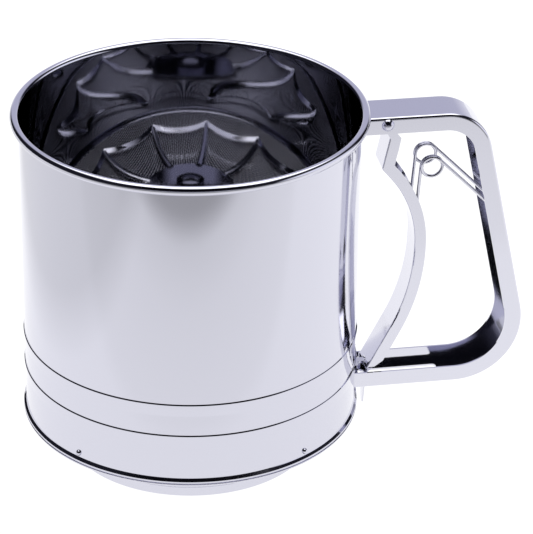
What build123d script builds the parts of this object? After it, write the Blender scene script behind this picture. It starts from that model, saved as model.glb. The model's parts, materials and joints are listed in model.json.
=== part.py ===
from build123d import *
from math import cos, hypot, radians, sin
import os

# Flour sifter: a sheet-steel can with two screens, a squeeze trigger and two turning agitators.
# Millimetres. The can's axis is Z, the handle points along +X, and the object stands on Z = 0.

os.makedirs("parts", exist_ok=True)

# Driving dimensions
rim_radius = 66.0            # outside of the rolled rim
rim_roll_radius = 1.7
sheet = 0.5                  # can and collar
wall_radius = 63.05          # outside of the plain wall
seat_z = 14.5                # underside of the bottom seam
can_height = 122.6           # bottom seam to top of rim
seam_radius = 64.8
seam_height = 2.6
rib_tops = (48.7, 35.7)      # the step of each rib, where a screen is seated
rib_depth = 0.7
rib_fall = 5.0

collar_lip_radius = 48.0
collar_lip_height = 3.0
collar_band_top = 22.0

screen_radius = 60.9
screen_thickness = 0.6
screen_dish = 6.2            # centre below edge
screen_hole_radius = 4.3
screen_edges = (49.3, 36.3)  # height of each screen's edge

shaft_radius = 2.5
spider_tip_radius = 51.6
spider_waist_radius = 41.0   # the scalloped edge, halfway between two tips
spider_arms = 6
spider_turn = 3.5            # angle of the first arm from +X, degrees
spider_sheet = 0.8
spider_dish = 4.3
spider_hub_radius = 16.5
spider_lip = 3.0
spider_lift = 1.4            # hub's underside above the screen's middle

handle_width = 17.3
handle_depth = 6.5
handle_sheet = 0.7
handle_top = 132.1
handle_bottom = 17.6
handle_corners = ((62.0, handle_top), (109.3, handle_top), (133.9, handle_bottom), (62.0, handle_bottom))
handle_radii = (18.0, 25.6)
slot_start = 66.2
slot_end = 97.5
slot_width = 8.4

pivot_x = 72.3
pivot_z = 129.1
pivot_radius = 1.4

lever_width = 13.0
lever_depth = 4.4
lever_sheet = 0.6
lever_corners = ((74.4, 126.0), (71.1, 110.1), (84.7, 93.9), (84.7, 58.5), (67.4, 24.4), (67.4, 6.8))
lever_radii = (1.5, 43.0, 77.6, 3.0)
ear_radius = 2.0
tongue_width = 7.0
tongue_tip_width = 2.2

link_z = 24.4                # underside of the drive link
link_sheet = 1.0
link_width = 6.0
link_neck_width = 3.0
link_hole_height = 3.0
crank_radius = 21.6
crank_angle = 120.0          # at rest, from +X, degrees
crank_pin_radius = 2.0
yoke_slot_width = 5.0
yoke_slot_length = 9.5

bridge_z = 17.8
bridge_sheet = 1.2
bridge_width = 11.0
bush_radius = 4.2
bush_clearance = 0.05

spring_wire = 1.1
spring_coil_radius = 4.0
spring_coil_x = 90.3
spring_coil_z = 109.8
spring_arm_gap = 4.9         # trigger arms from the mid-plane
spring_turns = 1.375         # round the left, over the top, round again and off at 45 degrees
spring_trigger_end = (84.9, 88.2)
spring_handle_end = (116.8, 89.0)

wall_inner = wall_radius - sheet
can_top = seat_z + can_height


def ring(*profile):
    """Solid of revolution about Z from (radius, height) corners."""
    outline = Polyline(*[(r, 0, z) for r, z in profile], close=True)
    return revolve(make_face(outline), Axis.Z)


def tube(outer, inner, low, high):
    return ring((inner, low), (outer, low), (outer, high), (inner, high))


def rod(radius, start, end):
    """Cylinder between two points."""
    axis = Vector(*end) - Vector(*start)
    place = Plane(origin=start, z_dir=axis)
    return place * Cylinder(radius, axis.length, align=(Align.CENTER, Align.CENTER, Align.MIN))


def turned(shape, angle):
    return Rot(0, 0, angle) * shape


def on_axis(angle, radius):
    return radius * cos(radians(angle)), radius * sin(radians(angle))


# Routes in the XZ plane: corners joined by straight runs, each corner rounded

def turn_sides(points):
    """+1 where the route turns right, -1 where it turns left, for each inner corner."""
    sides = []
    for a, b, c in zip(points, points[1:], points[2:]):
        cross = (b[0] - a[0]) * (c[1] - b[1]) - (b[1] - a[1]) * (c[0] - b[0])
        sides.append(1 if cross < 0 else -1)
    return sides


def shifted(points, distance):
    """Corners of the route moved to its left by a distance."""
    lines = []
    for a, b in zip(points, points[1:]):
        length = hypot(b[0] - a[0], b[1] - a[1])
        along = ((b[0] - a[0]) / length, (b[1] - a[1]) / length)
        lines.append(((a[0] - along[1] * distance, a[1] + along[0] * distance), along))
    corners = [lines[0][0]]
    for (p, u), (q, v) in zip(lines, lines[1:]):
        step = ((q[0] - p[0]) * v[1] - (q[1] - p[1]) * v[0]) / (u[0] * v[1] - u[1] * v[0])
        corners.append((p[0] + u[0] * step, p[1] + u[1] * step))
    last, along = lines[-1]
    length = hypot(points[-1][0] - points[-2][0], points[-1][1] - points[-2][1])
    corners.append((last[0] + along[0] * length, last[1] + along[1] * length))
    return corners


def route(points, radii, distance=0.0):
    sides = turn_sides(points)
    rounded = [max(radius + side * distance, 0.3) for radius, side in zip(radii, sides)]
    return FilletPolyline(*shifted(points, distance), radius=rounded)


def band(points, radii, near, far, width):
    """Plate across the mid-plane, between two distances to the left of a route."""
    first = route(points, radii, near)
    second = route(points, radii, far)
    ends = [Line(first @ 0, second @ 0), Line(first @ 1, second @ 1)]
    face = make_face(first.edges() + second.edges() + ends)
    return extrude(Plane.XZ * face, amount=width / 2, both=True)


def round_bends(shape, line, half_width, radius):
    """Round the long edges where a channel's closed side meets its flanges."""
    bends = []
    for edge in shape.edges():
        middle = edge @ 0.5
        if abs(abs(middle.Y) - half_width) < 0.01 and line.distance_to(Vector(middle.X, 0, middle.Z)) < 0.01:
            bends.append(edge)
    return fillet(bends, radius)


# Can: wall with ribs, rolled rim and bottom seam

def wall_profile(offset):
    """Corners of the wall's outside or inside, from the seam up to the rim."""
    radius = wall_radius - offset
    corners = [(radius, seat_z + 1.0)]
    for top in sorted(rib_tops):
        corners += [(radius, top - rib_fall), (radius + rib_depth, top - 0.3), (radius, top)]
    corners.append((radius, can_top - rim_roll_radius))
    return corners


def make_can_wall():
    shell = ring(*wall_profile(0.0), *reversed(wall_profile(sheet)))
    roll_middle = rim_radius - rim_roll_radius
    roll = Torus(roll_middle, rim_roll_radius) - Torus(roll_middle, rim_roll_radius - sheet)
    roll = Pos(0, 0, can_top - rim_roll_radius) * roll
    seam = tube(seam_radius, wall_inner, seat_z, seat_z + seam_height)
    outer_edges = seam.edges().filter_by(GeomType.CIRCLE).group_by(SortBy.RADIUS)[-1]
    seam = fillet(outer_edges, 1.0)
    link_gap = Pos(wall_radius, 0, 26.3) * Box(6, link_width + 2.4, 4.8)
    return shell + roll + seam - link_gap


def make_rim_wire():
    middle = rim_radius - rim_roll_radius
    return Pos(0, 0, can_top - rim_roll_radius) * Torus(middle, rim_roll_radius - sheet - 0.3)


def make_outlet_collar():
    band_radius = wall_inner - 0.1
    outside = [(band_radius, collar_band_top), (band_radius, seat_z - 0.3)]
    outside += [(collar_lip_radius, collar_lip_height + 0.8), (collar_lip_radius, 0)]
    inside = [(collar_lip_radius - 1.0, 0), (collar_lip_radius - 1.0, collar_lip_height)]
    inside += [(collar_lip_radius - sheet, collar_lip_height + 1.0)]
    inside += [(band_radius - sheet, seat_z - 0.1), (band_radius - sheet, collar_band_top)]
    collar = ring(*outside, *inside)
    lip = [edge for edge in collar.edges().filter_by(GeomType.CIRCLE) if edge.center().Z < 0.01]
    return fillet(lip, 0.35)


def make_collar_rivets():
    rivets = []
    for angle in (-139.5, -56.5, 56.5, 139.5):
        x, y = on_axis(angle, wall_inner - 0.3)
        outward = Vector(x, y, 0).normalized()
        start = Vector(x, y, 19.0)
        shank = rod(0.7, start, start + outward * 1.0)
        head = Pos(*(start + outward * 0.75)) * Sphere(1.15)
        head -= Cylinder(wall_radius, 60)
        rivets.append(shank + head)
    return rivets


# Screens, frames and eyelets

def dish_height(radius, span, depth):
    return depth * (radius / span) ** 2


def dished(inner, outer, span, depth, low, high):
    """Dished disc between two heights above a bowl-shaped surface whose middle is at Z = 0."""
    middle = (inner + outer) / 2

    def curve(lift):
        heights = [dish_height(r, span, depth) + lift for r in (inner, middle, outer)]
        return ThreePointArc((inner, 0, heights[0]), (middle, 0, heights[1]), (outer, 0, heights[2]))

    below = curve(low)
    above = curve(high)
    sides = [Line(below @ 0, above @ 0), Line(below @ 1, above @ 1)]
    return revolve(make_face([below.edge(), above.edge()] + sides), Axis.Z)


def make_screen(edge_z):
    half = screen_thickness / 2
    disc = dished(screen_hole_radius, screen_radius, screen_radius, screen_dish, -half, half)
    return Pos(0, 0, edge_z - screen_dish) * disc


def make_screen_frame(edge_z, rib_top):
    """Folded ring that grips the screen's edge and snaps into the rib."""
    outer = wall_inner - 0.15
    body = tube(outer, screen_radius - 1.2, edge_z - 1.3, edge_z + 1.1)
    lip = tube(wall_inner + 0.35, outer - 0.5, rib_top - 1.3, rib_top - 0.7)
    half = screen_thickness / 2 + 0.05
    groove = dished(screen_radius - 4, screen_radius + 0.1, screen_radius, screen_dish, -half, half)
    return body + lip - Pos(0, 0, edge_z - screen_dish) * groove


def make_eyelet(edge_z):
    middle_z = edge_z - screen_dish
    bore = shaft_radius + 0.4
    half = screen_thickness / 2 + 0.05
    barrel = tube(screen_hole_radius - 0.05, bore, -half - 0.4, half + 0.4)
    flanges = tube(6.5, bore, half, half + 0.4) + tube(6.5, bore, -half - 0.4, -half)
    return Pos(0, 0, middle_z) * (barrel + flanges)


# Agitators, shaft and crank

def make_scallop(shrink):
    """Flat outline with one hollow edge between each pair of arm tips."""
    edges = []
    for arm in range(spider_arms):
        angle = 360 / spider_arms * arm
        start = on_axis(angle, spider_tip_radius - shrink * 1.1)
        middle = on_axis(angle + 30, spider_waist_radius - shrink)
        end = on_axis(angle + 60, spider_tip_radius - shrink * 1.1)
        edges.append(ThreePointArc(start, middle, end).edge())
    return make_face(edges)


def make_spider(hub_z):
    """Dished sheet with six windows, a raised lip round the edge and a ridge along each arm."""
    outline = make_scallop(0.0)
    windows = make_scallop(2.6) - Circle(spider_hub_radius)
    lip = outline - make_scallop(spider_sheet)
    ridges = Sketch()
    for arm in range(spider_arms):
        angle = 360 / spider_arms * arm
        windows -= Rot(0, 0, angle) * Pos(spider_tip_radius / 2, 0) * Rectangle(spider_tip_radius, 4.6)
        ridges += Rot(0, 0, angle) * Pos(32.5, 0) * Rectangle(34.0, 1.8)
    plate = outline - windows - Circle(shaft_radius)
    reach = spider_tip_radius + 2
    depth = dish_height(reach, spider_tip_radius, spider_dish)

    def pressed(sketch, low, high):
        bowl = dished(1.0, reach, reach, depth, low, high)
        return bowl & Pos(0, 0, -5) * extrude(sketch, amount=30)

    spider = pressed(plate, 0, spider_sheet)
    spider += pressed(lip, 0, spider_lip)
    spider += pressed(ridges, 0.3, spider_sheet + 0.9)
    return Pos(0, 0, hub_z) * turned(spider, spider_turn)


def make_shaft(low, high):
    shaft = rod(shaft_radius, (0, 0, low), (0, 0, high))
    groove = tube(shaft_radius + 1, shaft_radius - 0.6, low + 0.8, low + 1.6)
    return shaft - groove


def make_hub_rivet(z):
    """Domed head that spreads over the upper agitator's hub."""
    dome = Pos(0, 0, z - 6.0) * Sphere(9.0)
    return dome & Pos(0, 0, z) * Cylinder(5.2, 3.0, align=(Align.CENTER, Align.CENTER, Align.MIN))


def make_crank_arm(z):
    x, y = on_axis(crank_angle, crank_radius)
    hub = Cylinder(5.5, 1.4, align=(Align.CENTER, Align.CENTER, Align.MIN))
    end = Pos(x, y, 0) * Cylinder(4.0, 1.4, align=(Align.CENTER, Align.CENTER, Align.MIN))
    web = turned(Pos(crank_radius / 2, 0, 0.7) * Box(crank_radius, 7.0, 1.4), crank_angle)
    hole = Cylinder(shaft_radius, 4) + Pos(x, y, 0) * Cylinder(crank_pin_radius - 0.5, 4)
    return Pos(0, 0, z) * (hub + end + web - hole)


def make_crank_pin(z):
    x, y = on_axis(crank_angle, crank_radius)
    pin = rod(crank_pin_radius, (x, y, z + 1.4), (x, y, z + 7.2))
    foot = rod(crank_pin_radius - 0.5, (x, y, z), (x, y, z + 1.6))
    head = rod(3.4, (x, y, z + 7.0), (x, y, z + 7.7))
    return pin + foot + head


# Foot of the can: bridge, bush and clip under the shaft

def make_bridge():
    reach = wall_inner - 0.9
    bar = Pos(0, 0, bridge_z + bridge_sheet / 2) * Box(bridge_width, 2 * reach, bridge_sheet)
    feet = tube(reach, reach - bridge_sheet, bridge_z - 3.0, bridge_z + 4.0)
    feet &= Box(bridge_width, 4 * reach, 100)
    ridge = Pos(0, 31, bridge_z + bridge_sheet) * Box(3.0, 42, 1.2)
    ridges = ridge + Pos(0, -62, 0) * ridge
    hole = Pos(0, 0, bridge_z) * Cylinder(bush_radius - 1.2, 10)
    bridge = (bar & Cylinder(reach, 100)) + feet + ridges
    return bridge - hole


def make_bridge_rivets():
    rivets = []
    for side in (-1, 1):
        for across in (-3.2, 3.2):
            start = Vector(across, side * (wall_inner - 2.7), bridge_z - 1.4)
            rivets.append(rod(0.9, start, start + Vector(0, side * 0.9, 0)))
    return rivets


def make_bush():
    inner = shaft_radius + bush_clearance
    barrel = tube(bush_radius - 1.25, inner, bridge_z - 0.8, bridge_z + bridge_sheet + 0.8)
    upper = tube(bush_radius, inner, bridge_z + bridge_sheet + 0.05, bridge_z + bridge_sheet + 1.0)
    lower = tube(bush_radius, inner, bridge_z - 1.0, bridge_z - 0.05)
    return barrel + upper + lower


def make_shaft_clip(low):
    clip = tube(shaft_radius + 1.8, shaft_radius - 0.55, low + 0.85, low + 1.55)
    gap = Pos(shaft_radius + 1, 0, low + 1.2) * Box(4, 2.6, 3)
    return clip - gap


# Handle

def make_handle():
    outside = band(handle_corners, handle_radii, 0, -handle_depth, handle_width)
    outside = round_bends(outside, Plane.XZ * route(handle_corners, handle_radii), handle_width / 2, 1.1)
    hollow_width = handle_width - 2 * handle_sheet
    hollow = band(handle_corners, handle_radii, -handle_sheet, -handle_depth - 2, hollow_width)
    channel = outside - hollow
    weld_plates = Box(20, hollow_width + 0.2, 4.6)
    feet = Pos(wall_radius, 0, handle_top - handle_sheet - 2.3) * weld_plates
    feet += Pos(wall_radius, 0, handle_bottom + handle_sheet + 2.1) * weld_plates
    feet &= tube(wall_radius + 0.7, wall_radius, 0, 150)
    slot_length = slot_end - slot_start
    slot = Pos(slot_start + slot_length / 2, 0, handle_bottom) * Box(slot_length, slot_width, 4)
    slot = fillet(slot.edges().filter_by(Axis.Z), 1.5)
    pivot_hole = rod(pivot_radius, (pivot_x, -20, pivot_z), (pivot_x, 20, pivot_z))
    return channel - Cylinder(wall_radius, 400) + feet - slot - pivot_hole


def make_pivot_rivet():
    """Shouldered rivet that holds the trigger central between the flanges."""
    half = handle_width / 2
    inside = half - handle_sheet - 0.05
    shank = rod(pivot_radius - 0.03, (pivot_x, -half, pivot_z), (pivot_x, half, pivot_z))
    for side in (-1, 1):
        start = lever_width / 2 + 0.15
        shank += rod(2.1, (pivot_x, side * start, pivot_z), (pivot_x, side * inside, pivot_z))
        head = Pos(pivot_x, side * (half - 1.0), pivot_z) * Sphere(2.6)
        shank += head & Pos(pivot_x, side * (half + 5), pivot_z) * Box(10, 10, 10)
    return shank


# Trigger lever

def make_ear():
    """Side view of the trigger's upper end, from the pivot down to the bend."""
    x, z = pivot_x, pivot_z
    outline = [(x - ear_radius, z), (x + ear_radius, z), (76.2, 124.6), (78.0, 122.0), (77.6, 119.2)]
    outline += [(76.3, 113.3), (75.6, 112.7), (71.5, 110.6), (73.9, 122.5)]
    return make_face(Polyline(*outline, close=True)) + Pos(x, z) * Circle(ear_radius)


def make_lever():
    web = band(lever_corners, lever_radii, 0, lever_sheet, lever_width)
    full = band(lever_corners, lever_radii, 0, lever_depth, lever_width)
    full += extrude(Plane.XZ * make_ear(), amount=lever_width / 2, both=True)
    foot_cut = make_face(Polyline((60, 0), (68.4, 23.7), (76.4, 29.5), (95, 29.5), (95, 0), close=True))
    full -= extrude(Plane.XZ * foot_cut, amount=20, both=True)
    ear_cut = make_face(Polyline((74.6, 128.5), (76.2, 124.9), (78.0, 122.6), (77.2, 118.0), (76.2, 113.6),
                                 (90, 113.6), (90, 128.5), close=True))
    full -= extrude(Plane.XZ * ear_cut, amount=20, both=True)
    flanges = full - Box(400, lever_width - 2 * lever_sheet, 400)
    wide_web = web & Pos(80, 0, 80) * Box(60, 40, 118)
    lever = flanges + wide_web
    lever -= rod(pivot_radius + 0.05, (pivot_x, -20, pivot_z), (pivot_x, 20, pivot_z))
    lever = round_bends(lever, Plane.XZ * route(lever_corners, lever_radii), lever_width / 2, 0.5)
    half_top = tongue_width / 2
    half_tip = tongue_tip_width / 2
    low = lever_corners[-1][1]
    tongue = Polyline((-half_top, 25), (half_top, 25), (half_top, 17), (half_tip, low),
                      (-half_tip, low), (-half_top, 17), close=True)
    tongue = web & extrude(Plane.YZ * make_face(tongue), amount=100)
    hook_hole = Pos(68.0, 0, link_z + link_sheet / 2) * Box(8, link_neck_width + 1.6, link_hole_height)
    hook_hole = fillet(hook_hole.edges().filter_by(Axis.X), 1.2)
    return lever + tongue - hook_hole


# Drive link: neck through the trigger's hole, strip through the wall, yoke round the crank pin

def make_link():
    pin_x, pin_y = on_axis(crank_angle, crank_radius)
    yoke_y = (pin_y + crank_radius) / 2
    half = link_width / 2
    head_x = 70.9
    plate = Pos((65.2 + 38) / 2, 0) * Rectangle(65.2 - 38, link_width)
    plate += Pos(67.5, 0) * Rectangle(6.0, link_neck_width)
    plate += Pos(head_x, 0) * Rectangle(1.6, link_width + 1.4)
    plate += make_face(Polyline((40, half), (40, -half), (34, -half), (pin_x + 2, yoke_y - 3.5),
                                (pin_x + 4, yoke_y + 3.5), (36, half), close=True))
    yoke = Pos(pin_x, yoke_y) * Rectangle(yoke_slot_width + 5, yoke_slot_length + 5)
    plate += fillet(yoke.vertices(), 3.0)
    plate -= Pos(pin_x, yoke_y) * Rot(0, 0, 90) * SlotOverall(yoke_slot_length, yoke_slot_width)
    return Pos(0, 0, link_z) * extrude(plate, amount=link_sheet)


# Return spring: one wire, two coils, both outer arms in the handle and a loop in the trigger

def make_spring():
    wire = spring_wire / 2
    pitch = spring_wire * 1.02
    width = spring_turns * pitch
    lean = spring_coil_radius * cos(radians(45))
    top = (spring_coil_x + lean, spring_coil_z + lean)
    trigger_x, trigger_z = spring_trigger_end
    grip_x, grip_z = spring_handle_end
    whole = rod(wire, (trigger_x, -spring_arm_gap, trigger_z), (trigger_x, spring_arm_gap, trigger_z))
    for side in (-1, 1):
        coil = Helix(pitch, width, spring_coil_radius, lefthand=side > 0)
        coil = sweep(Plane(origin=coil @ 0, z_dir=coil % 0) * Circle(wire), path=coil)
        inner_y = side * spring_arm_gap
        outer_y = side * (spring_arm_gap + width)
        stand = Plane((spring_coil_x, inner_y, spring_coil_z), x_dir=(-1, 0, 0), z_dir=(0, side, 0))
        left_x = spring_coil_x - spring_coil_radius
        whole += stand * coil
        whole += rod(wire, (left_x, inner_y, spring_coil_z), (trigger_x, inner_y, trigger_z))
        whole += rod(wire, (top[0], outer_y, top[1]), (grip_x, outer_y, grip_z))
        whole += Pos(trigger_x, inner_y, trigger_z) * Sphere(wire)
    return whole


crank_z = bridge_z + bridge_sheet + 1.3
shaft_low = bridge_z - 3.0
lower_hub_z = screen_edges[1] - screen_dish + spider_lift
upper_hub_z = screen_edges[0] - screen_dish + spider_lift
upper_hub_top = upper_hub_z + spider_sheet + 0.05
lower_hub_top = lower_hub_z + spider_sheet + 0.05

nodes = {
    "can_wall": make_can_wall(),
    "rim_wire": make_rim_wire(),
    "outlet_collar": make_outlet_collar(),
    "collar_rivets": Compound(make_collar_rivets()),
    "upper_screen": make_screen(screen_edges[0]),
    "lower_screen": make_screen(screen_edges[1]),
    "upper_screen_frame": make_screen_frame(screen_edges[0], rib_tops[0]),
    "lower_screen_frame": make_screen_frame(screen_edges[1], rib_tops[1]),
    "upper_eyelet": make_eyelet(screen_edges[0]),
    "lower_eyelet": make_eyelet(screen_edges[1]),
    "bearing_bridge": make_bridge(),
    "bridge_rivets": Compound(make_bridge_rivets()),
    "shaft_bush": make_bush(),
    "handle": make_handle(),
    "pivot_rivet": make_pivot_rivet(),
    "return_spring": make_spring(),
    "trigger_lever": make_lever(),
    "drive_link": make_link(),
    "agitator_shaft": make_shaft(shaft_low, upper_hub_z + spider_sheet),
    "upper_agitator": make_spider(upper_hub_z),
    "lower_agitator": make_spider(lower_hub_z),
    "hub_rivet": make_hub_rivet(upper_hub_top),
    "lower_hub_collar": tube(5.2, shaft_radius, lower_hub_top, lower_hub_top + 2.4),
    "crank_arm": make_crank_arm(crank_z),
    "crank_pin": make_crank_pin(crank_z),
    "shaft_clip": make_shaft_clip(shaft_low),
}

for name, shape in nodes.items():
    export_step(shape, f"parts/{name}.step")
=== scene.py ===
import json
import math
import bmesh
import bpy
from mathutils import Matrix, Vector


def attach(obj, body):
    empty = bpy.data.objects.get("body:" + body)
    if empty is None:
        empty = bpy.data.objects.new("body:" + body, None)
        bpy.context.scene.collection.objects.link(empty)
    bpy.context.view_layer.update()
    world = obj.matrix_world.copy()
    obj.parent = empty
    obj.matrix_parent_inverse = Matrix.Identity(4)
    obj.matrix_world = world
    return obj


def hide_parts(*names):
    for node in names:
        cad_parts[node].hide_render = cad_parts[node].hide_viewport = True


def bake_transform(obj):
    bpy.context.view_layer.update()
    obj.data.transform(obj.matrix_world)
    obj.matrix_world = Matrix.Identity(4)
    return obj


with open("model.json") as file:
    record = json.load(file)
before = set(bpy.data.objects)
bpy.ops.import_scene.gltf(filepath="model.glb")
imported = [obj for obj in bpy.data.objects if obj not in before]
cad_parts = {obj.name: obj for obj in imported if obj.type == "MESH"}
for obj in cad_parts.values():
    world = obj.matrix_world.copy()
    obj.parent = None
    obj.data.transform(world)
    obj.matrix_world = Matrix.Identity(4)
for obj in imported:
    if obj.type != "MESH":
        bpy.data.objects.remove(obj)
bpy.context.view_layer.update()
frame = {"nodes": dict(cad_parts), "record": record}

# Flour sifter: a polished can with two woven screens, turning agitators, a squeeze trigger and a sprung handle.
# The dictionaries are in millimetres and degrees, the meshes in metres.

mm = 0.001
nodes = frame["nodes"]
print("frame loaded:", len(nodes), "parts")

# Camera: a long lens, a little above the rim and to the left of the handle

camera = {
    "place": (-133.86, -895.65, 556.3),
    "turn": 10.31,      # from +Y towards +X
    "tilt": 28.16,      # downwards
    "roll": 0.8,        # lifts its right side
    "lens": 184.17,
    "sensor": 36.0,
    "clipEnd": 20000,
}


def makeCamera():
    turn, tilt, roll = (math.radians(camera[key]) for key in ("turn", "tilt", "roll"))
    ahead = Vector((math.sin(turn) * math.cos(tilt), math.cos(turn) * math.cos(tilt), -math.sin(tilt)))
    right = Vector((math.cos(turn), -math.sin(turn), 0))
    up = right.cross(ahead)
    rolledRight = math.cos(roll) * right + math.sin(roll) * up
    rolledUp = math.cos(roll) * up - math.sin(roll) * right
    data = bpy.data.cameras.new("studioCamera")
    data.sensor_fit = "HORIZONTAL"
    data.sensor_width = camera["sensor"]
    data.lens = camera["lens"]
    data.clip_end = camera["clipEnd"] * mm
    holder = bpy.data.objects.new("studioCamera", data)
    holder.matrix_world = Matrix((rolledRight, rolledUp, -ahead)).transposed().to_4x4()
    holder.matrix_world.translation = Vector(camera["place"]) * mm
    bpy.context.scene.collection.objects.link(holder)
    bpy.context.scene.camera = holder


makeCamera()
bpy.context.scene.view_settings.view_transform = "Standard"
print("camera set")

# Colours and nodes


def toLinear(hexColour):    # sRGB hex to linear
    channels = [int(hexColour[i:i + 2], 16) / 255 for i in (1, 3, 5)]
    return [c / 12.92 if c <= 0.04045 else ((c + 0.055) / 1.055) ** 2.4 for c in channels] + [1.0]


def addNode(tree, kind, settings=None, links=None):    # settings go by input or by property, links by input
    node = tree.nodes.new(kind)
    for key, value in (settings or {}).items():
        if key == "stops":    # (position, colour) along a ramp, the colour as hex or as a linear grey
            elements = node.color_ramp.elements
            while len(elements) < len(value):
                elements.new(0.5)
            for element, (position, colour) in zip(elements, value):
                element.position = position
                element.color = toLinear(colour) if isinstance(colour, str) else (colour, colour, colour, 1)
        elif isinstance(key, int) or key in node.inputs:
            node.inputs[key].default_value = value
        else:
            setattr(node, key, value)
    for key, source in (links or {}).items():
        tree.links.new(source, node.inputs[key])
    return node


def newMaterial(name):
    material = bpy.data.materials.new(name)
    material.use_nodes = True
    return material, material.node_tree, material.node_tree.nodes["Principled BSDF"]


# Light: soft boxes at the sides and behind, a dark ceiling and a dark room in front, over a paper sweep that glows
# with painted light

studio = {
    "floorSize": 6000,
    "floorColour": "#3F3F3F",       # dark, as the paper's own light does the work
    # painted pool of light: the floor's glow by distance behind the can's axis, away from the camera, falling off
    # towards the camera
    "floorGlow": ((-450, 0.30), (-310, 0.40), (-298, 0.52), (-278, 0.78), (-220, 0.88),
                  (-130, 0.94), (-110, 1.0), (20, 1.05), (100, 1.08)),
    "floorRange": (-500, 500),
    "floorPeak": 2.0,       # brightest the floor's ramp can reach
    "floorPaintedShadeLeft": (-140, -200, 0.80),      # painted shade: from, to and how dim the floor's glow gets, towards the left
    "paintedShadowUnderCan": (46.5, 47.5),       # painted shadow under the can: the floor's glow starts between these radii, so that none comes up through the can
    # colour along the arc from the horizon behind (0), over the top (90), to the horizon in front (180)
    "arc": ((0, "#A8A8B0"), (14, "#8E8E9C"), (26, "#8E8E9C"), (44, "#8E8E9C"), (56, "#FFFFFF"), (98, "#FFFFFF"),
            (106, "#08080C"), (130, "#040406"), (160, "#08080C"), (173, "#26262E"), (180, "#66666E")),
    # each wall and box: from and to, along the line from the right (1) to the left (-1)
    "leftWall": (-0.38, -0.56, "#131319"),
    "rightWall": (0.42, 0.58, "#131319"),
    "rightBox": (0.80, 0.92, "#B8B8C0"),
    "rightTop": (0.62, 0.45),       # the right box fades in between these heights, going down
    "strength": 2.1,
}


def makeTent():
    world = bpy.data.worlds.new("studioTent")
    world.use_nodes = True
    tree = world.node_tree
    tree.nodes.clear()
    direction = addNode(tree, "ShaderNodeTexCoord").outputs["Generated"]
    turn = {"Rotation": (0, 0, math.radians(camera["turn"]))}
    turned = addNode(tree, "ShaderNodeMapping", turn, {"Vector": direction}).outputs["Vector"]
    parts = addNode(tree, "ShaderNodeSeparateXYZ", links={0: turned}).outputs
    angle = addNode(tree, "ShaderNodeMath", {"operation": "ARCTAN2"}, {0: parts["Z"], 1: parts["Y"]})
    share = addNode(tree, "ShaderNodeMath", {"operation": "DIVIDE", 1: math.pi}, {0: angle.outputs["Value"]})
    stops = {"stops": [(degrees / 180, shade) for degrees, shade in studio["arc"]]}
    colour = addNode(tree, "ShaderNodeValToRGB", stops, {"Fac": share.outputs["Value"]}).outputs["Color"]
    for side in ("leftWall", "rightWall", "rightBox"):
        start, end, shade = studio[side]
        cover = addNode(tree, "ShaderNodeMapRange", {"From Min": start, "From Max": end}, {"Value": parts["X"]})
        cover = cover.outputs["Result"]
        if side == "rightBox":
            high, low = studio["rightTop"]
            below = addNode(tree, "ShaderNodeMapRange", {"From Min": high, "From Max": low}, {"Value": parts["Z"]})
            both = addNode(tree, "ShaderNodeMath", {"operation": "MULTIPLY"}, {0: cover, 1: below.outputs["Result"]})
            cover = both.outputs["Value"]
        # of a colour mix, input 0 is the factor, 6 and 7 are the colours, and output 2 is the result
        mixed = {"data_type": "RGBA", 7: toLinear(shade)}
        colour = addNode(tree, "ShaderNodeMix", mixed, {0: cover, 6: colour}).outputs[2]
    glow = addNode(tree, "ShaderNodeBackground", {"Strength": studio["strength"]}, {"Color": colour})
    addNode(tree, "ShaderNodeOutputWorld", links={"Surface": glow.outputs["Background"]})
    bpy.context.scene.world = world


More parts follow.
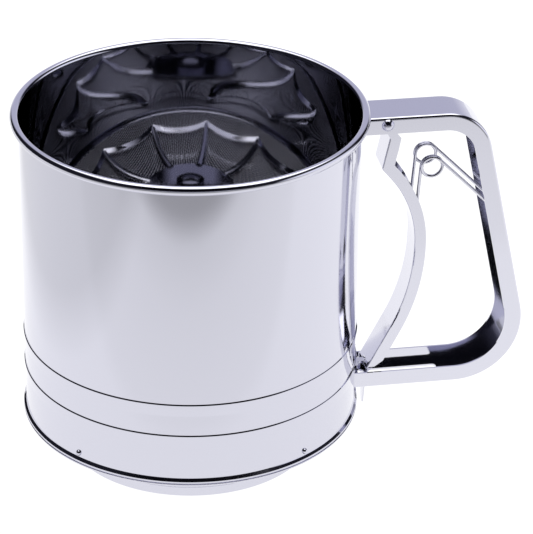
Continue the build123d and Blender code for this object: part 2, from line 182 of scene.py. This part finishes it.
def makeFloor():
    half = studio["floorSize"] * mm / 2
    mesh = bpy.data.meshes.new("studioFloor")
    mesh.from_pydata([(-half, -half, 0), (half, -half, 0), (half, half, 0), (-half, half, 0)], [], [(0, 1, 2, 3)])
    floor = bpy.data.objects.new("studioFloor", mesh)
    bpy.context.scene.collection.objects.link(floor)
    # White paper, rolled smooth, glowing as painted light: a pool of light that falls off towards the camera and the
    # left, with a painted shadow under the can; it takes no cast shadow
    material, tree, shader = newMaterial("paintedGlowPaperSweep")
    shader.inputs["Base Color"].default_value = toLinear(studio["floorColour"])
    shader.inputs["Roughness"].default_value = 1.0
    shader.inputs["Emission Color"].default_value = (1, 1, 1, 1)
    place = addNode(tree, "ShaderNodeTexCoord").outputs["Object"]
    turn = {"Rotation": (0, 0, math.radians(camera["turn"]))}
    turned = addNode(tree, "ShaderNodeMapping", turn, {"Vector": place}).outputs["Vector"]
    parts = addNode(tree, "ShaderNodeSeparateXYZ", links={"Vector": turned}).outputs
    # painted pool of light: the glow falls off towards the camera
    near, far = studio["floorRange"]
    share = addNode(tree, "ShaderNodeMapRange", {"From Min": near * mm, "From Max": far * mm}, {"Value": parts["Y"]})
    peak = studio["floorPeak"]    # a ramp stops at 1, so it holds each brightness as a share of the peak
    stops = {"stops": [((spot - near) / (far - near), bright / peak) for spot, bright in studio["floorGlow"]]}
    glow = addNode(tree, "ShaderNodeValToRGB", stops, {"Fac": share.outputs["Result"]})
    distance = addNode(tree, "ShaderNodeVectorMath", {"operation": "LENGTH"}, {0: place})
    # painted shadow: no glow under the can
    start, end = studio["paintedShadowUnderCan"]
    opening = {"From Min": start * mm, "From Max": end * mm, "To Max": peak}
    outsidePaintedShadow = addNode(tree, "ShaderNodeMapRange", opening, {"Value": distance.outputs["Value"]})
    # painted shade: the glow dims towards the left
    start, end, dimmest = studio["floorPaintedShadeLeft"]
    dimming = {"From Min": start * mm, "From Max": end * mm, "To Min": 1.0, "To Max": dimmest}
    paintedLeftShade = addNode(tree, "ShaderNodeMapRange", dimming, {"Value": parts["X"]})
    links = {0: outsidePaintedShadow.outputs["Result"], 1: paintedLeftShade.outputs["Result"]}
    shown = addNode(tree, "ShaderNodeMath", {"operation": "MULTIPLY"}, links)
    links = {0: glow.outputs["Color"], 1: shown.outputs["Value"]}
    lit = addNode(tree, "ShaderNodeMath", {"operation": "MULTIPLY"}, links)
    tree.links.new(lit.outputs["Value"], shader.inputs["Emission Strength"])
    mesh.materials.append(material)


makeTent()
makeFloor()
print("studio lit")

# Finishes


steel = {
    "cloud": 22.2,              # size of the patches where a finish is a little duller, as handling leaves it
    "cloudRange": (0.3, 0.7),       # the noise between these turns into duller patches
}


def makeSteel(name, colour, roughness, spread, grain, depth):    # grain and depth: size of the lines, in mm
    material, tree, shader = newMaterial(name)
    place = addNode(tree, "ShaderNodeTexCoord").outputs["Object"]
    lines = addNode(tree, "ShaderNodeMapping", {"Scale": [1 / (size * mm) for size in grain]}, {"Vector": place})
    grainy = addNode(tree, "ShaderNodeTexNoise", {"Scale": 1.0, "Detail": 3.0}, {"Vector": lines.outputs["Vector"]})
    patches = {"Scale": 1 / (steel["cloud"] * mm), "Detail": 2.0}
    cloud = addNode(tree, "ShaderNodeTexNoise", patches, {"Vector": place})
    low, high = steel["cloudRange"]
    dulling = {"From Min": low, "From Max": high, "To Min": roughness, "To Max": roughness + spread}
    rough = addNode(tree, "ShaderNodeMapRange", dulling, {"Value": cloud.outputs["Fac"]})
    relief = {"Strength": 1.0, "Distance": depth * mm}
    bump = addNode(tree, "ShaderNodeBump", relief, {"Height": grainy.outputs["Fac"]})
    shader.inputs["Base Color"].default_value = toLinear(colour)
    shader.inputs["Metallic"].default_value = 1.0
    tree.links.new(rough.outputs["Result"], shader.inputs["Roughness"])
    tree.links.new(bump.outputs["Normal"], shader.inputs["Normal"])
    return material


# Stainless sheet, drawn round and polished: a clear mirror with faint lines round the can.
# Its polishing lines are really under about 0.05 mm wide. They are drawn 0.4 mm wide, so that they show.
polishedSteel = makeSteel("polishedStainlessSteel", "#D5D5E1", roughness=0.05, spread=0.05,
                          grain=(6.667, 6.667, 0.4), depth=0.0004)
# The same sheet inside: a smooth mirror, darker than the outside as painted shade inside the can, with the same
# coarse lines
shadedInsideSteel = makeSteel("shadedDrawnInsideSteel", "#B4B4BE", roughness=0.03, spread=0.02,
                        grain=(6.667, 6.667, 0.4), depth=0.0003)
# Stainless strip, buffed along its length: soft lights that run along the handle and the trigger.
# Its buffing lines, too, are really under about 0.05 mm wide. They are drawn 0.33 mm wide, so that they show.
handleSteel = makeSteel("buffedHandleSteel", "#D9D9E4", roughness=0.06, spread=0.05,
                        grain=(3.333, 0.3333, 3.333), depth=0.0004)
# Stainless sheet, pressed in a die: bright and a little uneven, with a ripple that is drawn 1.7 mm wide to show
pressedSteel = makeSteel("pressedSheetSteel", "#DCDCE2", roughness=0.05, spread=0.04,
                         grain=(1.667, 1.667, 1.667), depth=0.0006)
# Steel rivets, cold headed: bright domes with soft edges to their lights.
# The tool marks on rivets and drawn wires are finer than 0.1 mm, so here and below they are drawn 1.1 mm wide.
rivetSteel = makeSteel("headedRivetSteel", "#CFCFDC", roughness=0.08, spread=0.08,
                       grain=(1.111, 1.111, 1.111), depth=0.001)
# Stainless wire, drawn and woven: pale matt threads, the lit copy of the wire, paler than the sheet steels as
# painted light. Real wire has a roughness near 0.3, and this one is rougher, so that each thin thread shows as a
# line.
meshSteel = makeSteel("drawnScreenWire", "#F4F4FA", roughness=0.62, spread=0.06,
                      grain=(1.111, 1.111, 1.111), depth=0.001)
# The same wire as painted shade: dark threads for the cross wires, so that the two directions of the weave show
# apart, and for the whole lower screen, which sits in shade
shadedScreenWireSteel = makeSteel("shadedScreenWire", "#34343E", roughness=0.30, spread=0.06,
                          grain=(1.111, 1.111, 1.111), depth=0.001)
# A cold headed rivet, darker than the arms that meet under it
darkRivetSteel = makeSteel("darkRivetFinish", "#70707C", roughness=0.12, spread=0.08,
                           grain=(1.111, 1.111, 1.111), depth=0.001)
# Spring wire, drawn and plated: a bright round wire with one thin light along it
springSteel = makeSteel("platedSpringWire", "#D6D6E0", roughness=0.08, spread=0.06,
                        grain=(1.111, 1.111, 1.111), depth=0.001)
finishes = {
    "polished_steel": polishedSteel,
    "handle_steel": handleSteel,
    "pressed_steel": pressedSteel,
    "rivet_steel": rivetSteel,
    "mesh_steel": meshSteel,
    "spring_wire": springSteel,
}


def finishNode(name):
    for part in frame["record"]["subparts"]:
        if part["node"] == name:
            for place in nodes[name].material_slots:
                place.link = "OBJECT"
                place.material = finishes[part["material_slot"]]


for name in nodes:
    finishNode(name)
# the hub rivet takes the darker rivet steel
for place in nodes["hub_rivet"].material_slots:
    place.material = darkRivetSteel
print("finishes made")


def newPiece(name, points, faces, finishNames, body, stands=(), sharp=35, inside=None):
    mesh = bpy.data.meshes.new(name)
    mesh.from_pydata([Vector(p) * mm for p in points], [], faces)
    build = bmesh.new()
    build.from_mesh(mesh)
    bmesh.ops.recalc_face_normals(build, faces=build.faces)
    build.to_mesh(mesh)
    build.free()
    mesh.polygons.foreach_set("use_smooth", [True] * len(mesh.polygons))
    mesh.set_sharp_from_angle(angle=math.radians(sharp))
    for finish in finishNames:
        mesh.materials.append(finish)
    if inside:    # faces that take the second finish
        for face in mesh.polygons:
            face.material_index = 1 if inside(face.center / mm, face.normal) else 0
    piece = bpy.data.objects.new(name, mesh)
    bpy.context.scene.collection.objects.link(piece)
    if body:
        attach(piece, body)
    if stands:
        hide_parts(*stands)
    return piece


def flatFaces(piece):    # keeps flats flat beside their rounded bends
    weighted = piece.modifiers.new("flatFaces", "WEIGHTED_NORMAL")
    weighted.keep_sharp = True


def cutOut(piece, low, high):    # cuts a box-shaped opening
    mesh = bpy.data.meshes.new("cutter")
    corners = [(x, y, z) for x in (low[0], high[0]) for y in (low[1], high[1]) for z in (low[2], high[2])]
    sides = [(0, 1, 3, 2), (4, 6, 7, 5), (0, 4, 5, 1), (2, 3, 7, 6), (0, 2, 6, 4), (1, 5, 7, 3)]
    mesh.from_pydata([Vector(p) * mm for p in corners], [], sides)
    cutter = bpy.data.objects.new("cutter", mesh)
    bpy.context.scene.collection.objects.link(cutter)
    cut = piece.modifiers.new("opening", "BOOLEAN")
    cut.operation = "DIFFERENCE"
    cut.object = cutter
    bpy.context.view_layer.update()
    result = bpy.data.meshes.new_from_object(piece.evaluated_get(bpy.context.evaluated_depsgraph_get()))
    piece.modifiers.remove(cut)
    piece.data = result
    bpy.data.objects.remove(cutter)


def rounded(corners, steps=6):    # (across, up, radius) corners of a closed outline, each rounded by its radius
    outline = []
    nearlyStraight = math.radians(88)
    for i, (x, z, radius) in enumerate(corners):
        here = Vector((x, z))
        back, ahead = Vector(corners[i - 1][:2]) - here, Vector(corners[(i + 1) % len(corners)][:2]) - here
        half = back.angle(ahead) / 2
        if radius <= 0 or half > nearlyStraight:
            outline.append((x, z))
            continue
        reach = radius / math.tan(half)
        start, end = here + back.normalized() * reach, here + ahead.normalized() * reach
        middle = here + (back.normalized() + ahead.normalized()).normalized() * (radius / math.sin(half))
        sweep = math.pi - 2 * half
        turn = 1 if (start - middle).cross(end - middle) > 0 else -1
        count = max(2, round(steps * sweep / (math.pi / 2)))
        for k in range(count + 1):
            angle = turn * sweep * k / count
            spoke = start - middle
            outline.append((middle.x + spoke.x * math.cos(angle) - spoke.y * math.sin(angle),
                            middle.y + spoke.x * math.sin(angle) + spoke.y * math.cos(angle)))
    return outline


def spun(outline, segments):    # closed outline of (radius, height) turned round the can's axis
    points, faces = [], []
    count = len(outline)
    for k in range(segments):
        angle = 2 * math.pi * k / segments
        points += [(r * math.cos(angle), r * math.sin(angle), z) for r, z in outline]
        for i in range(count):
            j, after = (i + 1) % count, (k + 1) % segments
            faces.append((k * count + i, k * count + j, after * count + j, after * count + i))
    return points, faces


# Can: drawn wall with two ribs, rolled rim, and a folded seam that grips the collar

can = {
    "outside": 63.05,
    "sheet": 0.5,
    "ribTops": (35.7, 48.7),
    "ribDepth": 0.40,
    "ribFall": 5.0,
    "ribStep": 0.34,
    "ribBend": 6.0,      # rounding where a rib leaves the wall
    # the seam: (out from the wall, up from its foot, rounding), with the fold's open edge at the two sharp corners
    "seamLow": 14.5,
    "seam": ((0.95, 0, 0.3), (1.1, 0.75, 0.1), (0.5, 0.8, 0), (0.5, 1.15, 0), (1.08, 1.2, 0.1), (1.0, 1.85, 0.12),
             (0.1, 2.65, 0.15), (0, 2.9, 0.1)),
    "footHigh": 1.0,        # the sheet turned under the wall
    "rollFrom": 130,
    "rollMiddle": (64.3, 135.4),
    "roll": 1.7,
    "rollSteps": 32,
    "insideRange": (17.5, 135.5),       # heights between which the wall's inner faces take the darker inside steel, painted shade
    "linkGap": ((58, -4.2, 23.9), (68, 4.2, 28.7)),
    "segments": 360,
}


def canOutline():
    wall, inner, depth = can["outside"], can["outside"] - can["sheet"], can["ribDepth"]
    low, high, bend = can["seamLow"], can["rollFrom"], can["ribBend"]
    corners = [(inner, low, 0.1)] + [(wall + out, low + up, radius) for out, up, radius in can["seam"]]
    for rib in can["ribTops"]:
        corners += [(wall, rib - can["ribFall"], bend), (wall + depth, rib - can["ribStep"], 0.25), (wall, rib, 0.2)]
    outline = rounded(corners + [(wall, high, 0), (inner, high, 0)])[:-2]    # the last two only close the section
    middle, height = can["rollMiddle"]
    start = math.atan2(-math.sqrt(can["roll"] ** 2 - (wall - middle) ** 2), wall - middle)
    for k in range(can["rollSteps"] + 1):
        angle = start + (math.pi - start) * k / can["rollSteps"]
        outline.append((middle + can["roll"] * math.cos(angle), height + can["roll"] * math.sin(angle)))
    back = [(inner, high, 0)]
    for rib in reversed(can["ribTops"]):
        back += [(inner, rib, 0.25), (inner + depth, rib - can["ribStep"], 0.3), (inner, rib - can["ribFall"], bend)]
    foot = low + can["footHigh"]
    return outline + rounded(back + [(inner, foot, 0), (wall, foot, 0)])[:-2]


def facesInwards(place, normal):
    low, high = can["insideRange"]
    return low < place.z < high and normal.x * place.x + normal.y * place.y < 0


def makeCan():
    points, faces = spun(canOutline(), can["segments"])
    # painted shade: faces inside the can take the darker inside steel
    steels = [polishedSteel, shadedInsideSteel]
    wall = newPiece("drawnCan", points, faces, steels, "can", ["can_wall"], inside=facesInwards)
    cutOut(wall, *can["linkGap"])
    flatFaces(wall)
    print("can drawn:", len(wall.data.polygons), "faces")


makeCan()

# Outlet collar: a spun cone that ends in a short upright lip

collar = {
    # corners of its section, (radius, height, rounding): from the seam down to the lip, and back up inside
    "outline": ((62.45, 22, 0.1), (62.45, 14.2, 0.7), (48, 3.8, 1.2), (48, 0, 0.35), (47, 0, 0.35), (47, 3, 0.3),
                (47.5, 4, 0.8), (61.95, 14.4, 0.4), (61.95, 22, 0.1)),
}


def makeCollar():
    points, faces = spun(rounded(collar["outline"]), can["segments"])
    flatFaces(newPiece("spunCollar", points, faces, [polishedSteel], "can", ["outlet_collar"]))


makeCollar()
print("collar spun")

# Screen rings: a thin folded ring with a round bead that holds each screen's edge

rings = {
    # corners of the section: (radius, height from the screen's edge, rounding)
    "outline": ((59.7, -1.3, 0.4), (62.4, -1.3, 0.2), (62.4, 0.2, 0.1), (61.9, 0, 0.2), (61.5, 1.1, 0.5),
                (59.7, 1.1, 0.8)),
}


def makeRings():
    for level, edgeZ in screens["edges"].items():
        corners = [(radius, edgeZ + rise, bend) for radius, rise, bend in rings["outline"]]
        points, faces = spun(rounded(corners), can["segments"])
        stands = [level + "_screen_frame"]
        # painted shade: the rings inside the can take the darker inside steel
        flatFaces(newPiece(level + "Ring", points, faces, [shadedInsideSteel], "can", stands))


# Agitators: pressed six-armed spiders, scalloped, with a flared edge that lifts the flour

spider = {
    "tip": 51.6,
    "waist": 43.2,
    "arms": 6,
    "turn": 3.5,
    "dish": 4.3,
    "hub": 16.5,
    "hubHole": 2.5,
    "hubRings": (6, 10, 14),
    "hubBevel": (0.2, 0.3),      # in and up
    "sheet": 0.8,
    # section of the edge: (out from the scallop, up from the dish)
    "flare": ((-2.6, 0.0), (-2.6, 0.7), (-2.3, 0.8), (-2.0, 0.85), (-0.2, 1.5),
              (0.0, 1.45), (0.0, 0.9), (-0.4, 0.7), (-1.9, 0.1), (-2.2, 0.0)),
    "edgeSteps": 360,
    "armReach": (15.3, 49.4),
    "armSteps": 14,
    "armWide": 2.3,      # half width
    "armHigh": 1.7,
    "armFoot": 0.5,      # height of its flat sides
    "armRound": (0.8, 0.75),     # share of the width, and height, where its round back starts
    "undersides": {"upper": 44.5, "lower": 31.5},
}


def scallopRadius(angle):    # the edge between two tips is an arc that dips to the waist
    step = 2 * math.pi / spider["arms"]
    within = (angle % step) - step / 2
    tip = Vector((spider["tip"] * math.cos(step / 2), spider["tip"] * math.sin(step / 2)))
    waist = spider["waist"]
    middle = (tip.length_squared - waist ** 2) / (2 * (tip.x - waist))
    radius = middle - waist
    across = middle * math.sin(within)
    return middle * math.cos(within) - math.sqrt(max(radius ** 2 - across ** 2, 0))


def spiderHeight(radius):
    return spider["dish"] * (radius / spider["tip"]) ** 2


def addLoopStrip(points, faces, loops, closed):    # joins a run of equal loops into a tube
    base, count = len(points), len(loops[0])
    for loop in loops:
        points += loop
    last = len(loops) if closed else len(loops) - 1
    for k in range(last):
        for i in range(count):
            j, after = (i + 1) % count, (k + 1) % len(loops)
            here, there = base + k * count, base + after * count
            faces.append((here + i, here + j, there + j, there + i))
    if not closed:
        faces.append(tuple(range(base, base + count)))
        faces.append(tuple(range(base + last * count, base + (last + 1) * count)))


def spiderEdge(turn, underside):
    edge, steps = [], spider["edgeSteps"]
    for k in range(steps):
        angle = 2 * math.pi * k / steps
        reach = scallopRadius(angle)
        loop = []
        for out, rise in spider["flare"]:
            r, z = reach + out, spiderHeight(spider["tip"] + out) + rise    # level, as high as at the tips
            loop.append((r * math.cos(angle + turn), r * math.sin(angle + turn), underside + z))
        edge.append(loop)
    return edge


def spiderHub(underside):
    hub, hole, sheet = spider["hub"], spider["hubHole"], spider["sheet"]
    inwards, upwards = spider["hubBevel"]
    radii = [hole, *spider["hubRings"], hub - inwards]
    plate = [(r, spiderHeight(r)) for r in radii] + [(hub, spiderHeight(hub) + upwards)]
    plate += [(hub, spiderHeight(hub) + sheet - upwards)] + [(r, spiderHeight(r) + sheet) for r in reversed(radii)]
    turns = [math.radians(degrees) for degrees in range(0, 360, 3)]
    return [[(r * math.cos(a), r * math.sin(a), underside + z) for r, z in plate] for a in turns]


def spiderArm(angle, underside):
    along, side = Vector((math.cos(angle), math.sin(angle), 0)), Vector((-math.sin(angle), math.cos(angle), 0))
    wide, high, foot = spider["armWide"], spider["armHigh"], spider["armFoot"]
    share, shoulder = spider["armRound"]
    turns = [math.radians(degrees) for degrees in range(15, 180, 15)]
    back = [(wide * math.cos(a) * share, shoulder + (high - shoulder) * math.sin(a)) for a in turns]
    shape = [(-wide, 0.0), (wide, 0.0), (wide, foot)] + back + [(-wide, foot)]
    start, end = spider["armReach"]
    loops = []
    for k in range(spider["armSteps"] + 1):
        r = start + (end - start) * k / spider["armSteps"]
        base = underside + spiderHeight(r)
        loops.append([tuple(along * r + side * across + Vector((0, 0, base + rise))) for across, rise in shape])
    return loops


def makeSpider(level, underside):
    points, faces = [], []
    turn = math.radians(spider["turn"])
    addLoopStrip(points, faces, spiderEdge(turn, underside), True)
    addLoopStrip(points, faces, spiderHub(underside), True)
    for arm in range(spider["arms"]):
        addLoopStrip(points, faces, spiderArm(turn + 2 * math.pi * arm / spider["arms"], underside), False)
    stands = [level + "_agitator"]
    flatFaces(newPiece(level + "Spider", points, faces, [pressedSteel], "agitator", stands))


for level, underside in spider["undersides"].items():
    makeSpider(level, underside)
print("agitators pressed")

# Screens: plain weave, dished, each wire bent over and under its neighbours

screens = {
    "reach": 60.8,
    "eyelet": 4.6,
    "dish": 6.2,
    "pitch": 1.5,
    "warp": 0.36,      # radius of the wires across the handle's plane, thicker than real ones, so that they show
    "weft": 0.14,      # radius of the wires that cross them
    "rim": 0.4,        # no wire starts this close to the edge
    "endGap": 0.2,     # and none bends this close to its end
    "edges": {"upper": 49.3, "lower": 36.3},
}


def bowlHeight(x, y):
    return screens["dish"] * ((x * x + y * y) / screens["reach"] ** 2 - 1)


def weaveWires(points, faces, edgeZ, swap):    # the thin wires along X, or with swap 1 the thick ones along Y
    pitch, reach = screens["pitch"], screens["reach"]
    wire = screens["warp"] if swap else screens["weft"]
    bend = screens["weft"] if swap else screens["warp"]    # by what it crosses, so the thick wires stay straighter
    count, gap = int(reach / pitch), screens["endGap"]
    crossings = [(i + 0.5) * pitch for i in range(-count - 1, count + 1)]
    for row in range(-count, count):
        across = (row + 0.5) * pitch
        if abs(across) >= reach - screens["rim"]:
            continue
        end = math.sqrt(reach ** 2 - across ** 2)
        start = math.sqrt(max(screens["eyelet"] ** 2 - across ** 2, 0))
        runs = [(-end, end)] if abs(across) >= screens["eyelet"] else [(-end, -start), (start, end)]
        for low, high in runs:
            stations = [low] + [spot for spot in crossings if low + gap < spot < high - gap] + [high]
            base = len(points)
            for along in stations:
                column = round(along / pitch - 0.5)
                wave = bend if (row + column) % 2 == swap else -bend
                z = edgeZ + bowlHeight(along, across) + wave
                for side, rise in ((-wire, 0), (0, -wire), (wire, 0), (0, wire)):
                    spot = (along, across + side, z + rise)
                    points.append((spot[1], spot[0], spot[2]) if swap else spot)
            for i in range(len(stations) - 1):
                for k in range(4):
                    a, b = base + 4 * i + k, base + 4 * i + (k + 1) % 4
                    quad = (a, a + 4, b + 4, b)
                    faces.append(quad[::-1] if swap else quad)
            total = len(points)
            firstCap, lastCap = tuple(range(base, base + 4)), tuple(range(total - 1, total - 5, -1))
            faces += [firstCap[::-1], lastCap[::-1]] if swap else [firstCap, lastCap]


def makeScreen(level, edgeZ):
    points, faces = [], []
    weaveWires(points, faces, edgeZ, 0)
    weft = len(faces)
    weaveWires(points, faces, edgeZ, 1)
    # painted shade: the lower screen, and the cross wires of both screens, take the dark copy of the wire
    steels = [meshSteel if level == "upper" else shadedScreenWireSteel, shadedScreenWireSteel]
    stands = [level + "_screen"]
    screen = newPiece(level + "WovenScreen", points, faces, steels, "can", stands, sharp=180)
    for face in screen.data.polygons[:weft]:
        face.material_index = 1
    print(level, "screen woven:", len(faces) * 2, "triangles")


for level, edgeZ in screens["edges"].items():
    makeScreen(level, edgeZ)
makeRings()
print("rings folded")

# Return spring: one wire with two coils, its ends held in the handle and its middle loop in the trigger

spring = {
    "wire": 0.62,      # radius
    "coil": (90.3, 109.8),
    "coilRadius": 4.0,
    "turns": 1.375,
    "step": 1.28,      # sideways for each turn
    "halfGap": 4.9,
    "triggerEnd": (84.9, 88.2),
    "handleEnd": (116.8, 89.0),
    "loopBend": 1.2,
    "loopPoints": (0.0, 1.5, 2.9),      # sideways, along the loop's straight middle
    "steps": {"bend": 6, "trigger": 10, "coil": 55, "handle": 14},
    "sideAngle": 24,       # between the flats that make the wire round
    "still": (112, 0, 94),      # a point where the wire meets the handle
    "moving": (86.3, 0, 100),    # and one where it meets the trigger
}


def springHalf():    # from the middle of the loop to the end in the handle
    gap, bend, radius, steps = spring["halfGap"], spring["loopBend"], spring["coilRadius"], spring["steps"]
    middle, low = Vector(spring["coil"]), Vector(spring["triggerEnd"])
    start = middle - Vector((radius, 0))
    rise = (start - low).normalized()
    path = [(low.x, y, low.y) for y in (*spring["loopPoints"], gap - bend)]
    for k in range(1, steps["bend"] + 1):
        angle = math.pi / 2 * k / steps["bend"]
        spot = low + rise * bend * (1 - math.cos(angle))
        path.append((spot.x, gap - bend + bend * math.sin(angle), spot.y))
    first = low + rise * bend
    for k in range(1, steps["trigger"]):
        spot = first.lerp(start, k / steps["trigger"])
        path.append((spot.x, gap, spot.y))
    for k in range(steps["coil"] + 1):
        share = k / steps["coil"]
        angle = math.pi - 2 * math.pi * spring["turns"] * share
        sideways = gap + spring["turns"] * spring["step"] * share
        path.append((middle.x + radius * math.cos(angle), sideways, middle.y + radius * math.sin(angle)))
    last, end, sideways = Vector((path[-1][0], path[-1][2])), Vector(spring["handleEnd"]), path[-1][1]
    for k in range(1, steps["handle"] + 1):
        spot = last.lerp(end, k / steps["handle"])
        path.append((spot.x, sideways, spot.y))
    return path


def makeSpring():
    half = springHalf()
    path = [Vector((x, -y, z)) for x, y, z in reversed(half[1:])] + [Vector(p) for p in half]
    points, faces, loops, across = [], [], [], Vector((0, 0, 1))
    turns = [math.radians(degrees) for degrees in range(0, 360, spring["sideAngle"])]
    for i, spot in enumerate(path):
        ahead = (path[min(i + 1, len(path) - 1)] - path[max(i - 1, 0)]).normalized()
        across = (across - ahead * across.dot(ahead)).normalized()
        third = ahead.cross(across)
        loops.append([tuple(spot + spring["wire"] * (across * math.cos(a) + third * math.sin(a))) for a in turns])
    addLoopStrip(points, faces, loops, False)
    stands = ["return_spring"]
    piece = newPiece("coiledSpring", points, faces, [springSteel], None, stands, sharp=60)
    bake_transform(piece)


makeSpring()
print("spring coiled")
